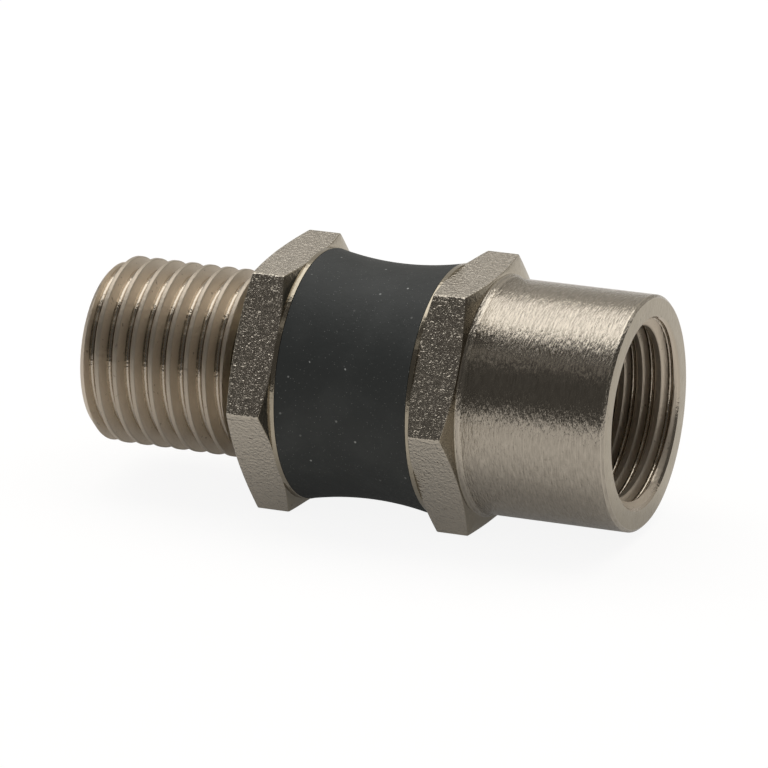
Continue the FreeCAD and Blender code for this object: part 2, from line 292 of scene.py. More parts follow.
@dataclass
class Band:
    """A strip of an end fitting's skin, as rows across and columns round the axis.

    Attributes:
        x: Places along the axis, rows by columns.
        r: Radii, rows by columns.
        zones: Surface kind of each stretch between rows.
        edge: How close each row is to an edge, 0 to 1.
        cavity: How deep each place lies in a groove, 0 to 1.
        turn_rows: Rows by which the strip climbs in one turn, or 0.
    """

    x: Grid
    r: Grid
    zones: list[Zone]
    edge: Grid
    cavity: Grid
    turn_rows: int = 0


def outline_band(corners: list[Corner], arc_steps: int = 3) -> Band:
    """Builds the strip through the points of an outline, with softened edges.

    Args:
        corners: The outline's points, in order.
        arc_steps: Stretches on each softened edge.

    Returns:
        The strip.
    """
    count = len(ANGLES)
    longest_trim = 0.45
    zone_turn = arc_steps / 2 - 0.6
    xs = [np.broadcast_to(np.asarray(c.x, float), (count,)) for c in corners]
    rs = [np.broadcast_to(np.asarray(c.r, float), (count,)) for c in corners]
    rows_x: list[Grid] = []
    rows_r: list[Grid] = []
    zones: list[Zone] = []
    edge: list[float] = []
    for index, corner in enumerate(corners):
        here = np.stack([xs[index], rs[index]])
        if corner.soft <= 0 or index in (0, len(corners) - 1):
            rows_x.append(here[0])
            rows_r.append(here[1])
            edge.append(0.0)
            zones.append(corner.zone)
            continue
        ends = []
        for other in (index - 1, index + 1):
            way = np.stack([xs[other], rs[other]]) - here
            length = np.sqrt((way**2).sum(axis=0))
            trim = np.minimum(corner.soft, longest_trim * length)
            ends.append(here + way * (trim / np.maximum(length, 1e-9)))
        for step in range(arc_steps + 1):
            t = step / arc_steps
            p = (1 - t) ** 2 * ends[0] + 2 * t * (1 - t) * here + t**2 * ends[1]
            rows_x.append(p[0])
            rows_r.append(p[1])
            edge.append(math.sin(math.pi * t) if 0 < step < arc_steps else 0.0)
            before = corners[index - 1].zone
            zones.append(before if step < zone_turn else corner.zone)
    x = np.array(rows_x)
    mask = np.repeat(np.array(edge)[:, None], count, axis=1)
    return Band(x, np.array(rows_r), zones[:-1], mask, np.zeros_like(x))


def thread_band(
    form: ThreadForm,
    start: float,
    end: float,
    surface: Callable[[Grid, Grid], Grid],
    deepest: float,
    highest: float,
) -> Band:
    """Builds a strip whose rows follow the thread's helix between two planes.

    Args:
        form: The thread.
        start: Lower end along X.
        end: Upper end along X.
        surface: Gives the radius at places and angles.
        deepest: Radius at the bottom of the groove.
        highest: Radius at the top of the ridge.

    Returns:
        The strip.
    """
    steps = form.steps(THREAD_ARC_ROWS, THREAD_FLANK_ROWS)
    per_turn = len(steps)
    first = math.floor((start - form.pitch - form.start) / form.pitch) - 1
    turns = math.ceil((end - start) / form.pitch) + 4
    base = np.concatenate([form.start + (first + k) * form.pitch + steps for k in range(turns)])
    x = base[:, None] + (ANGLES / (2 * math.pi) * form.pitch)[None, :]
    x = np.clip(x, start, end)
    angles = np.broadcast_to(ANGLES[None, :], x.shape)
    r = surface(x, angles)
    cavity = np.clip((highest - r) / (highest - deepest), 0.0, 1.0)
    zones = [Zone.THREAD] * (len(base) - 1)
    return Band(x, r, zones, np.zeros_like(x), cavity, per_turn)


def join_bands(name: str, bands: list[Band], materials: list[bpy.types.Material]) -> bpy.types.Object:
    """Makes one closed skin from strips that follow each other.

    Args:
        name: The object's name.
        bands: The strips, each starting where the last one ended.
        materials: One material for each zone, in order.

    Returns:
        The object, in place.
    """
    mesh = bpy.data.meshes.new(name)
    build = bmesh.new()
    edge_layer = build.verts.layers.float.new("edge")
    cavity_layer = build.verts.layers.float.new("cavity")
    count = len(ANGLES)
    cosines, sines = np.cos(ANGLES), np.sin(ANGLES)
    for band in bands:
        rows = band.x.shape[0]
        made = []
        for row in range(rows):
            line = []
            for column in range(count):
                radius = band.r[row, column] * MM
                place = (band.x[row, column] * MM, radius * cosines[column], radius * sines[column])
                vert = build.verts.new(place)
                vert[edge_layer] = float(band.edge[row, column])
                vert[cavity_layer] = float(band.cavity[row, column])
                line.append(vert)
            made.append(line)
        for row in range(rows - 1):
            for column in range(count):
                after = (column + 1) % count
                climb = band.turn_rows if after == 0 else 0
                low = made[min(row + climb, rows - 1)][after]
                high = made[min(row + 1 + climb, rows - 1)][after]
                corners = [made[row][column], low, high, made[row + 1][column]]
                if len(set(corners)) < 3:
                    continue
                kept = list(dict.fromkeys(corners))
                face = build.faces.get(kept)
                if face is None:
                    face = build.faces.new(kept)
                    face.material_index = band.zones[row].value
                    face.smooth = True
    bmesh.ops.remove_doubles(build, verts=build.verts, dist=MERGE_DISTANCE * MM)
    bmesh.ops.dissolve_degenerate(build, edges=build.edges, dist=SLIVER_LENGTH * MM)
    bmesh.ops.recalc_face_normals(build, faces=build.faces)
    build.to_mesh(mesh)
    build.free()
    for material in materials:
        mesh.materials.append(material)
    mesh.set_sharp_from_angle(angle=math.radians(FITTING_SHARP_ANGLE))
    piece = bpy.data.objects.new(name, mesh)
    bpy.context.scene.collection.objects.link(piece)
    weighted = piece.modifiers.new("weighted_normals", "WEIGHTED_NORMAL")
    weighted.keep_sharp = True
    weighted.weight = 60
    log.info("%s: %d faces", name, len(mesh.polygons))
    return piece


@dataclass(frozen=True)
class HexSizes:
    """Sizes of a wrench hexagon and the collar beside it.

    Attributes:
        flat: Distance of a flat from the axis.
        blank: Radius of the round corners.
        face_circle: Radius where the open side's chamfer starts.
        face_chamfer: Depth of that chamfer at the corners.
        rubber_chamfer: Depth of the rubber side's chamfer at the corners.
        rubber_circle: Radius where the rubber side's chamfer starts.
        collar: Radius of the collar.
        corner_rounding: Width of the rounding between flat and blank.
    """

    flat: float
    blank: float
    face_circle: float
    face_chamfer: float
    rubber_chamfer: float
    rubber_circle: float
    collar: float
    corner_rounding: float = 0.06

    def skin_radius(self) -> Grid:
        """Distance of the six flats from the axis, with barely rounded corners.

        Returns:
            One radius for each column.
        """
        from_flat = (ANGLES % math.radians(60)) - math.radians(30)
        flat = self.flat / np.cos(from_flat)
        return soft_min(flat, np.full_like(flat, self.blank), self.corner_rounding)

    def corners(self, start: float, end: float, collar_end: float) -> list[Corner]:
        """Outline from the open side's face, over the hexagon, to the collar.

        Args:
            start: Place of the face on the open side.
            end: Place of the face on the rubber side.
            collar_end: Place where the collar meets the rubber.

        Returns:
            The outline's points.
        """
        way = 1.0 if end > start else -1.0
        skin = self.skin_radius()
        rise = (skin - self.face_circle) / (self.blank - self.face_circle)
        fall = np.maximum(skin - self.rubber_circle, 0.0) / (self.blank - self.rubber_circle)
        return [
            Corner(start, self.face_circle, CLEAN_EDGE, Zone.CONE),
            Corner(start + way * self.face_chamfer * rise, skin, HEX_EDGE, Zone.FLAT),
            Corner(end - way * self.rubber_chamfer * fall, skin, HEX_EDGE, Zone.CONE),
            Corner(end, np.minimum(skin, self.rubber_circle), FINE_EDGE, Zone.CONE),
            Corner(end, self.collar, 0.0, Zone.CONE),
            Corner(collar_end, self.collar, COLLAR_EDGE, Zone.CONE),
        ]


@dataclass(frozen=True)
class SpigotSizes:
    """Sizes of the buried spigot with its lip.

    Attributes:
        bore: Radius of the flow bore.
        stem: Outer radius between collar and lip.
        lip: Outer radius of the lip.
        length: Reach from the collar into the rubber.
        lip_thickness: Length of the lip along the axis.
    """

    bore: float = 4.0
    stem: float = 5.2
    lip: float = 5.85
    length: float = 1.5
    lip_thickness: float = 0.5

    def corners(self, collar_end: float, way: float) -> list[Corner]:
        """Outline from the collar's face down to the bore.

        Args:
            collar_end: Place where the collar meets the rubber.
            way: 1 where the rubber lies on the +X side, else -1.

        Returns:
            The outline's points.
        """
        lip_start = collar_end + way * (self.length - self.lip_thickness)
        spigot_end = collar_end + way * self.length
        return [
            Corner(collar_end, self.stem, 0.0, Zone.CONE),
            Corner(lip_start, self.stem, 0.0, Zone.CONE),
            Corner(lip_start, self.lip, CLEAN_EDGE, Zone.CONE),
            Corner(spigot_end, self.lip, CLEAN_EDGE, Zone.CONE),
            Corner(spigot_end, self.bore, CLEAN_EDGE, Zone.BORE),
        ]


@dataclass
class EndFitting:
    """One metal end. Its own sub-class adds the threaded part.

    Attributes:
        name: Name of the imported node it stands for.
        body: The body it rides on.
        hexagon: Sizes of its hexagon and collar.
        spigot: Sizes of its buried spigot.
        thread: Its thread.
    """

    name: str
    body: Body
    hexagon: HexSizes
    spigot: SpigotSizes = field(default_factory=SpigotSizes)
    thread: ThreadForm = field(default_factory=ThreadForm)

    def bands(self) -> list[Band]:
        """The strips of this end's skin."""
        raise NotImplementedError

    def build(self, materials: list[bpy.types.Material]) -> bpy.types.Object:
        """Builds the end as one closed skin.

        Args:
            materials: One material for each zone.

        Returns:
            The finished object.
        """
        return join_bands(f"{self.name}_skin", self.bands(), materials)

    def dress(self, piece: bpy.types.Object) -> None:
        """Ties the object to its body and hides its imported node.

        Args:
            piece: The object that build made.
        """
        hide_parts(self.name)
        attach(piece, self.body.value)


@dataclass
class MaleEnd(EndFitting):
    """The end with the external thread, which points to -X.

    Attributes:
        hex_start: From the end face to the hexagon.
        hex_width: Width of the hexagon.
        collar_width: Width of the collar.
        end_circle: Radius where the lead-in chamfer meets the end face.
        end_chamfer: Length of the lead-in chamfer.
        bore_chamfer: Size of the chamfer at the bore's mouth.
        crest: Radius of the cut crests.
        neck_start: From the end face to the neck.
        neck: Radius of the neck.
    """

    hex_start: float = 12.35
    hex_width: float = 3.0
    collar_width: float = 0.33
    end_circle: float = 5.78
    end_chamfer: float = 0.7
    bore_chamfer: float = 0.3
    crest: float = 6.46
    neck_start: float = 11.24
    neck: float = 5.6

    def bands(self) -> list[Band]:
        """Builds the strips from the end face, over the thread and hexagon, back through the bore.

        Returns:
            The strips, in order.
        """
        face = MALE_BOX[0].x
        neck_start = face + self.neck_start
        hex_start = face + self.hex_start
        hex_end = hex_start + self.hex_width
        collar_end = hex_end + self.collar_width

        def surface(x: Grid, angle: Grid) -> Grid:
            """Radius of the external thread at places and angles.

            Args:
                x: Places along the axis.
                angle: Angles round the axis.

            Returns:
                The radius at each place.
            """
            cone = self.end_circle + (x - face) * (self.crest - self.end_circle) / self.end_chamfer
            ridge = soft_min(self.thread.radius(x, angle), cone, CLEAN_EDGE)
            ridge = np.minimum(ridge, self.crest)
            runout = self.neck + (neck_start - x) * RUNOUT_SLOPE
            return soft_min(ridge, runout, CLEAN_EDGE)

        threaded = thread_band(
            self.thread, face, neck_start, surface, self.thread.minor_radius, self.crest
        )
        bore = self.spigot.bore
        start = outline_band(
            [
                Corner(face + self.bore_chamfer, bore, 0.0, Zone.TURNED),
                Corner(face, bore + self.bore_chamfer, CLEAN_EDGE, Zone.TURNED),
                Corner(face, threaded.r[0], 0.0, Zone.TURNED),
            ]
        )
        rest = outline_band(
            [
                Corner(neck_start, threaded.r[-1], 0.0, Zone.CONE),
                Corner(hex_start, self.neck, NECK_EDGE, Zone.CONE),
                *self.hexagon.corners(hex_start, hex_end, collar_end),
                *self.spigot.corners(collar_end, 1.0),
                Corner(face + self.bore_chamfer, bore, 0.0, Zone.BORE),
            ]
        )
        return [start, threaded, rest]


@dataclass
class FemaleEnd(EndFitting):
    """The end with the threaded sleeve, which opens to +X.

    Attributes:
        sleeve_length: From the hexagon to the end face.
        sleeve: Outer radius of the sleeve.
        hex_width: Width of the hexagon.
        collar_width: Width of the collar.
        edge_chamfer: Size of the chamfer round the end face.
        root_fillet: Size of the fillet between sleeve and hexagon.
        mouth: Radius of the thread's mouth at the end face.
        mouth_chamfer: Length of the mouth's chamfer.
        crest: Radius of the cut crests.
        relief: Radius of the relief behind the thread.
        relief_start: From the end face to the relief.
        relief_end: From the end face to the relief's floor.
    """

    sleeve_length: float = 10.55
    sleeve: float = 8.05
    hex_width: float = 3.05
    collar_width: float = 0.33
    edge_chamfer: float = 0.2
    root_fillet: float = 0.3
    mouth: float = 6.6
    mouth_chamfer: float = 0.7
    crest: float = 5.9
    relief: float = 6.75
    relief_start: float = 10.5
    relief_end: float = 12.0

    def bands(self) -> list[Band]:
        """Builds the strips from the bore, through the thread and mouth, over sleeve and hexagon.

        Returns:
            The strips, in order.
        """
        face = FEMALE_BOX[1].x
        hex_start = face - self.sleeve_length
        hex_end = hex_start - self.hex_width
        collar_end = hex_end - self.collar_width
        relief_start = face - self.relief_start
        crest_soft = 0.04

        def surface(x: Grid, angle: Grid) -> Grid:
            """Radius of the internal thread at places and angles.

            Args:
                x: Places along the axis.
                angle: Angles round the axis.

            Returns:
                The radius at each place.
            """
            cone = self.mouth - (face - x) * (self.mouth - self.crest) / self.mouth_chamfer
            groove = soft_max(self.thread.radius(x, angle), np.full_like(x, self.crest), crest_soft)
            runout = self.relief - (x - relief_start) * RUNOUT_SLOPE
            return soft_max(soft_max(groove, cone, FINE_EDGE), runout, CLEAN_EDGE)

        threaded = thread_band(
            self.thread, relief_start, face, surface, self.thread.major_radius, self.crest
        )
        bore = self.spigot.bore
        inside = outline_band(
            [
                Corner(face - self.relief_end, bore, 0.0, Zone.BORE),
                Corner(face - self.relief_end, self.relief, ROOT_EDGE, Zone.BORE),
                Corner(relief_start, threaded.r[0], 0.0, Zone.BORE),
            ]
        )
        outside = outline_band(
            [
                Corner(face, threaded.r[-1], 0.0, Zone.CONE),
                Corner(face, self.sleeve - self.edge_chamfer, CLEAN_EDGE, Zone.TURNED),
                Corner(face - self.edge_chamfer, self.sleeve, CLEAN_EDGE, Zone.TURNED),
                Corner(hex_start + self.root_fillet, self.sleeve, ROOT_EDGE, Zone.TURNED),
                Corner(hex_start, self.sleeve + self.root_fillet * 0.8, NECK_EDGE, Zone.CONE),
                *self.hexagon.corners(hex_start, hex_end, collar_end),
                *self.spigot.corners(collar_end, -1.0),
                Corner(face - self.relief_end, bore, 0.0, Zone.BORE),
            ]
        )
        return [inside, threaded, outside]


@dataclass(frozen=True)
class Span:
    """A stretch of the rubber body, which lies with one body or between two.

    Attributes:
        name: Word for the stretch.
        start: Lower end, measured from the middle of the rubber.
        end: Upper end, measured from the middle of the rubber.
        near: Body on the lower side.
        far: Body on the upper side, or None where the stretch stays with near.
    """

    name: str
    start: float
    end: float
    near: Body
    far: Body | None = None


SPANS = (
    Span("male_seat", -4.77, -3.27, Body.MALE_END),
    Span("bend_y", -3.27, -1.97, Body.MALE_END, Body.LINER),
    Span("shear_y", -1.97, -1.05, Body.LINER, Body.INNER_PLY),
    Span("stretch", -1.05, 1.05, Body.INNER_PLY, Body.OUTER_PLY),
    Span("shear_z", 1.05, 1.95, Body.OUTER_PLY, Body.COVER),
    Span("bend_z", 1.95, 3.27, Body.COVER, Body.BEAD),
    Span("female_seat", 3.27, 4.77, Body.BEAD, Body.FEMALE_END),
)


@dataclass
class RubberLayer:
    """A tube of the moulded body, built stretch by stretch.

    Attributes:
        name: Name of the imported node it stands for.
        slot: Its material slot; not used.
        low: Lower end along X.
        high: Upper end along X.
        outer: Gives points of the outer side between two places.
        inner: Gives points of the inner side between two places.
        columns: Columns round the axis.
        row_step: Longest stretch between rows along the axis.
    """

    name: str
    slot: Slot
    low: float
    high: float
    outer: Side
    inner: Side
    columns: int = 192
    row_step: float = 0.14

    def section(self, start: float, end: float) -> list[Point]:
        """Closed section of one stretch, with rows close enough to bend.

        Args:
            start: Lower end of the stretch.
            end: Upper end of the stretch.

        Returns:
            Points as place and radius, in order round the section.
        """
        loop = self.outer(start, end) + self.inner(start, end)[::-1]
        fine: list[Point] = []
        for index, here in enumerate(loop):
            after = loop[(index + 1) % len(loop)]
            length = math.dist(here, after)
            along = abs(after[0] - here[0])
            pieces = max(1, math.ceil(along / self.row_step)) if along > 1e-6 else 1
            pieces = pieces if length > 1e-6 else 0
            for step in range(pieces):
                t = step / pieces
                fine.append((here[0] + (after[0] - here[0]) * t, here[1] + (after[1] - here[1]) * t))
        return fine

    def build(self, span: Span, material: bpy.types.Material) -> bpy.types.Object | None:
        """Builds the part of the tube that lies in one stretch.

        Args:
            span: The stretch.
            material: The layer's material.

        Returns:
            The object, or None where the tube doesn't reach the stretch.
        """
        start = max(RUBBER_MIDDLE + span.start, self.low)
        end = min(RUBBER_MIDDLE + span.end, self.high)
        if end - start < SHORTEST_STRETCH:
            return None
        name = f"{self.name}_{span.name}"
        return lathe(name, self.section(start, end), self.columns, material)

    def dress(self, piece: bpy.types.Object, span: Span) -> None:
        """Hides the imported node, and ties a stretch that stays with one body to that body; other
        stretches keep their place.

        Args:
            piece: The object that build made.
            span: The stretch it fills.
        """
        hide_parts(self.name)
        if span.far is None:
            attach(piece, span.near.value)
            return
        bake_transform(piece)


def lathe(
    name: str, section: list[Point], columns: int, material: bpy.types.Material
) -> bpy.types.Object:
    """Turns a closed section round the flow axis.

    Args:
        name: The object's name.
        section: Points as place and radius.
        columns: Number of columns round the axis.
        material: The object's material.

    Returns:
        The object, in place.
    """
    turn = np.linspace(0, 2 * math.pi, columns, endpoint=False)
    verts = [
        (x * MM, r * math.cos(a) * MM, r * math.sin(a) * MM)
        for x, r in section
        for a in turn
    ]
    faces = []
    for row in range(len(section)):
        below = (row + 1) % len(section)
        for column in range(columns):
            after = (column + 1) % columns
            faces.append(
                (
                    row * columns + column,
                    row * columns + after,
                    below * columns + after,
                    below * columns + column,
                )
            )
    mesh = bpy.data.meshes.new(name)
    mesh.from_pydata(verts, [], faces)
    build = bmesh.new()
    build.from_mesh(mesh)
    bmesh.ops.recalc_face_normals(build, faces=build.faces)
    build.to_mesh(mesh)
    build.free()
    mesh.shade_smooth()
    mesh.set_sharp_from_angle(angle=math.radians(TURNED_SHARP_ANGLE))
    mesh.materials.append(material)
    piece = bpy.data.objects.new(name, mesh)
    bpy.context.scene.collection.objects.link(piece)
    log.info("%s: %d faces", name, len(mesh.polygons))
    return piece


def straight(radius: float) -> Side:
    """Makes a side of constant radius, as a function that gives its points."""
    return lambda start, end: [(start, radius), (end, radius)]


def waisted_side(end_radius: float, waist_radius: float) -> Side:
    """The cover's outer side: one arc, smallest in the middle.

    Args:
        end_radius: Radius at both ends.
        waist_radius: Radius in the middle.

    Returns:
        The function that gives its points.
    """
    half = (COVER_BOX[1].x - COVER_BOX[0].x) / 2
    sag = end_radius - waist_radius
    arc = (half**2 + sag**2) / (2 * sag)

    def points(start: float, end: float) -> list[Point]:
        """Points of the side between two places.

        Args:
            start: Lower end.
            end: Upper end.

        Returns:
            The points, with X rising.
        """
        row_length = 0.1
        count = max(3, math.ceil((end - start) / row_length))
        places = np.linspace(start, end, count + 1)
        return [
            (float(x), waist_radius + arc - math.sqrt(arc**2 - (x - RUBBER_MIDDLE) ** 2))
            for x in places
        ]

    return points


def cover_inside(radius: float) -> Side:
    """The cover's inner side, with a round-topped pocket over each wire ring.

    Args:
        radius: Radius of the side beside the pockets.

    Returns:
        The function that gives its points.
    """
    arc_steps = 12
    pockets = []
    for low, high in (MALE_RING_BOX, FEMALE_RING_BOX):
        centre = (low.x + high.x) / 2
        wire = (high.x - low.x) / 2 + BOND_GAP
        axis = high.z - (high.x - low.x) / 2
        pockets.append((centre, wire, axis))

    def points(start: float, end: float) -> list[Point]:
        """Points of the side between two places.

        Args:
            start: Lower end.
            end: Upper end.

        Returns:
            The points, with X rising.
        """
        line = [(start, radius)]
        for centre, wire, axis in pockets:
            if start < centre < end:
                line.append((centre - wire, radius))
                for step in range(arc_steps + 1):
                    turn = math.pi * (1 - step / arc_steps)
                    line.append((centre + wire * math.cos(turn), axis + wire * math.sin(turn)))
                line.append((centre + wire, radius))
        return line + [(end, radius)]

    return points


def liner_inside(bore: float, stem: float, lip: float) -> Side:
    """The liner's inner side: it hooks round the lip of each spigot.

    Args:
        bore: Radius of the flow bore.
        stem: Radius over the spigot's stem.
        lip: Radius over the spigot's lip.

    Returns:
        The function that gives its points.
    """
    spigot = SpigotSizes()
    near_lip = spigot.length - spigot.lip_thickness - BOND_GAP
    past_lip = spigot.length + BOND_GAP
    steps = [
        (RUBBER_START, stem),
        (RUBBER_START + near_lip, stem),
        (RUBBER_START + near_lip, lip),
        (RUBBER_START + past_lip, lip),
        (RUBBER_START + past_lip, bore),
        (RUBBER_END - past_lip, bore),
        (RUBBER_END - past_lip, lip),
        (RUBBER_END - near_lip, lip),
        (RUBBER_END - near_lip, stem),
        (RUBBER_END, stem),
    ]

    def radius_at(x: float, side: int) -> float:
        """Radius of the side just above or just below a place.

        Args:
            x: The place.
            side: 1 for just above it, -1 for just below.

        Returns:
            The radius.
        """
        found = stem
        for (low, r), (high, _) in zip(steps[::2], steps[1::2]):
            inside = low <= x < high if side > 0 else low < x <= high
            if inside:
                found = r
        return found

    def points(start: float, end: float) -> list[Point]:
        """Points of the side between two places.

        Args:
            start: Lower end.
            end: Upper end.

        Returns:
            The points, with X rising.
        """
        line = [(start, radius_at(start, 1))]
        line += [(x, r) for x, r in steps if start < x < end]
        return line + [(end, radius_at(end, -1))]

    return points


@dataclass
class BeadRing:
    """A closed wire ring that holds the plies down.

    Attributes:
        name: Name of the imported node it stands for.
        body: The body it rides on.
        box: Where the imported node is.
        wire_sides: Points round the wire's section.
        columns: Columns round the axis.
    """

    name: str
    body: Body
    box: tuple[Vector, Vector]
    wire_sides: int = 24
    columns: int = 128

    def build(self, material: bpy.types.Material) -> bpy.types.Object:
        """Builds the ring.

        Args:
            material: The wire's material.

        Returns:
            The object, in place.
        """
        low, high = self.box
        wire = (high.x - low.x) / 2
        centre = (low.x + high.x) / 2
        axis = high.z - wire
        section = [
            (centre + wire * math.cos(a), axis + wire * math.sin(a))
            for a in np.linspace(0, 2 * math.pi, self.wire_sides, endpoint=False)
        ]
        return lathe(f"{self.name}_wire", section, self.columns, material)

    def dress(self, piece: bpy.types.Object) -> None:
        """Ties the ring to its body and hides its imported node.

        Args:
            piece: The object that build made.
        """
        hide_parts(self.name)
        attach(piece, self.body.value)


class NodeKit:
    """Short calls for adding and joining shader nodes in one tree."""

    def __init__(self, tree: bpy.types.NodeTree) -> None:
        """Keeps the tree that the calls work on.

        Args:
            tree: A material's, group's or world's node tree.
        """
        self.tree = tree

    def add(self, kind: str, **settings: object) -> bpy.types.Node:
        """Adds a node.

        Args:
            kind: The node's type name.
            settings: Properties to set on it.

        Returns:
            The node.
        """
        node = self.tree.nodes.new(kind)
        for key, value in settings.items():
            setattr(node, key, value)
        return node

    def join(self, source: bpy.types.NodeSocket, target: bpy.types.NodeSocket) -> None:
        """Joins two sockets."""
        self.tree.links.new(source, target)

    def feed(self, target: bpy.types.NodeSocket, value: Value | Tint) -> None:
        """Sets a socket to a constant, or joins it to another socket.

        Args:
            target: The socket.
            value: The constant or the other socket.
        """
        if isinstance(value, bpy.types.NodeSocket):
            self.join(value, target)
        else:
            target.default_value = value

    def work(
        self, operation: str, a: Value, b: Value = 0.0, clamp: bool = False
    ) -> bpy.types.NodeSocket:
        """Works out one number from two.

        Args:
            operation: Name of the Math operation.
            a: First number or socket.
            b: Second number or socket.
            clamp: Keeps the result between 0 and 1.

        Returns:
            The result's socket.
        """
        node = self.add("ShaderNodeMath", operation=operation, use_clamp=clamp)
        self.feed(node.inputs[0], a)
        self.feed(node.inputs[1], b)
        return node.outputs[0]

    def mix(self, share: Value, a: Tint, b: Tint) -> bpy.types.NodeSocket:
        """Mixes two colours.

        Args:
            share: How much of b to take, 0 to 1.
            a: First colour or socket.
            b: Second colour or socket.

        Returns:
            The mixed colour's socket.
        """
        node = self.add("ShaderNodeMix", data_type="RGBA")
        self.feed(node.inputs["Factor"], share)
        self.feed(node.inputs[6], a)
        self.feed(node.inputs[7], b)
        return node.outputs[2]

    def ramp(
        self, value: Value, low: float, high: float, out_low: float, out_high: float
    ) -> bpy.types.NodeSocket:
        """Stretches a range of values to another range, held at its ends.

        Args:
            value: Number or socket to stretch.
            low: Value that becomes out_low.
            high: Value that becomes out_high.
            out_low: Result at low and below.
            out_high: Result at high and above.

        Returns:
            The result's socket.
        """
        node = self.add("ShaderNodeMapRange", clamp=True, interpolation_type="SMOOTHSTEP")
        self.feed(node.inputs["Value"], value)
        node.inputs["From Min"].default_value = low
        node.inputs["From Max"].default_value = high
        node.inputs["To Min"].default_value = out_low
        node.inputs["To Max"].default_value = out_high
        return node.outputs["Result"]

    def stretched_noise(
        self,
        scale: tuple[float, float, float] | bpy.types.NodeSocket,
        detail: float,
        roughness: float = 0.5,
    ) -> bpy.types.NodeSocket:
        """Noise in the piece's own space, with its own scale for each axis.

        Args:
            scale: Vector or socket, in cells for each metre.
            detail: Noise detail.
            roughness: Noise roughness.

        Returns:
            The noise value's socket.
        """
        place = self.add("ShaderNodeTexCoord")
        times = self.add("ShaderNodeVectorMath", operation="MULTIPLY")
        self.join(place.outputs["Object"], times.inputs[0])
        self.feed(times.inputs[1], scale)
        noise = self.add("ShaderNodeTexNoise", noise_dimensions="3D")
        self.join(times.outputs[0], noise.inputs["Vector"])
        noise.inputs["Scale"].default_value = 1.0
        noise.inputs["Detail"].default_value = detail
        noise.inputs["Roughness"].default_value = roughness
        return noise.outputs["Fac"]


class EffectGroup:
    """A surface effect shared by several materials, as one node group.

    Sub-classes name their sockets and draw their nodes.
    """

    name: str = ""
    inputs: tuple[tuple[str, str, object], ...] = ()
    outputs: tuple[tuple[str, str], ...] = ()

    def __init__(self) -> None:
        """Builds the group once."""
        self.tree = bpy.data.node_groups.new(self.name, "ShaderNodeTree")
        for label, kind, default in self.inputs:
            made = self.tree.interface.new_socket(name=label, in_out="INPUT", socket_type=kind)
            made.default_value = default
        for label, kind in self.outputs:
            self.tree.interface.new_socket(name=label, in_out="OUTPUT", socket_type=kind)
        kit = NodeKit(self.tree)
        entry = kit.add("NodeGroupInput")
        leave = kit.add("NodeGroupOutput")
        self.draw(kit, entry.outputs, leave.inputs)

    def draw(self, kit: NodeKit, given: object, made: object) -> None:
        """Draws the effect's nodes.

        Args:
            kit: Calls for this group's tree.
            given: The group's input values.
            made: The group's output sockets.
        """
        raise NotImplementedError

    def place(self, kit: NodeKit, **values: object) -> bpy.types.Node:
        """Puts the effect in a material.

        Args:
            kit: Calls for the material's tree.
            values: Values for the group's inputs, by name.

        Returns:
            The group node.
        """
        node = kit.add("ShaderNodeGroup", node_tree=self.tree)
        for label, value in values.items():
            kit.feed(node.inputs[label], value)
        return node


class SpeckGroup(EffectGroup):
    """Small irregular specks, as on coarse plated bar."""

    name = "specks"
    inputs = (
        ("Density", "NodeSocketFloat", 5000.0),
        ("Threshold", "NodeSocketFloat", 0.55),
        ("Softness", "NodeSocketFloat", 0.1),
    )
    outputs = (("Mask", "NodeSocketFloat"), ("Height", "NodeSocketFloat"))

    def draw(self, kit: NodeKit, given: object, made: object) -> None:
        """Draws noise and cuts it at the threshold.

        Args:
            kit: Calls for this group's tree.
            given: The group's input values.
            made: The group's output sockets.
        """
        scale = kit.add("ShaderNodeCombineXYZ")
        for axis in range(3):
            kit.join(given["Density"], scale.inputs[axis])
        fine = kit.stretched_noise(scale.outputs[0], 2.0, 0.55)
        over = kit.work("SUBTRACT", fine, given["Threshold"])
        cut = kit.work("DIVIDE", over, given["Softness"])
        mask = kit.work("ADD", cut, 0.5, clamp=True)
        kit.join(mask, made["Mask"])
        kit.join(fine, made["Height"])


class ToolMarkGroup(EffectGroup):
    """Fine marks that a lathe leaves round a turned face."""

    name = "tool_marks"
    inputs = (
        ("Along", "NodeSocketFloat", 9000.0),
        ("Around", "NodeSocketFloat", 250.0),
        ("Contrast", "NodeSocketFloat", 1.0),
    )
    outputs = (("Mask", "NodeSocketFloat"), ("Height", "NodeSocketFloat"))

    def draw(self, kit: NodeKit, given: object, made: object) -> None:
        """Draws noise that is fine along the axis and long round it.

        Args:
            kit: Calls for this group's tree.
            given: The group's input values.
            made: The group's output sockets.
        """
        scale = kit.add("ShaderNodeCombineXYZ")
        kit.join(given["Along"], scale.inputs[0])
        kit.join(given["Around"], scale.inputs[1])
        kit.join(given["Around"], scale.inputs[2])
        marks = kit.stretched_noise(scale.outputs[0], 3.0, 0.6)
        centred = kit.work("SUBTRACT", marks, 0.5)
        spread = kit.work("MULTIPLY", centred, given["Contrast"])
        kit.join(kit.work("ADD", spread, 0.5, clamp=True), made["Mask"])
        kit.join(marks, made["Height"])


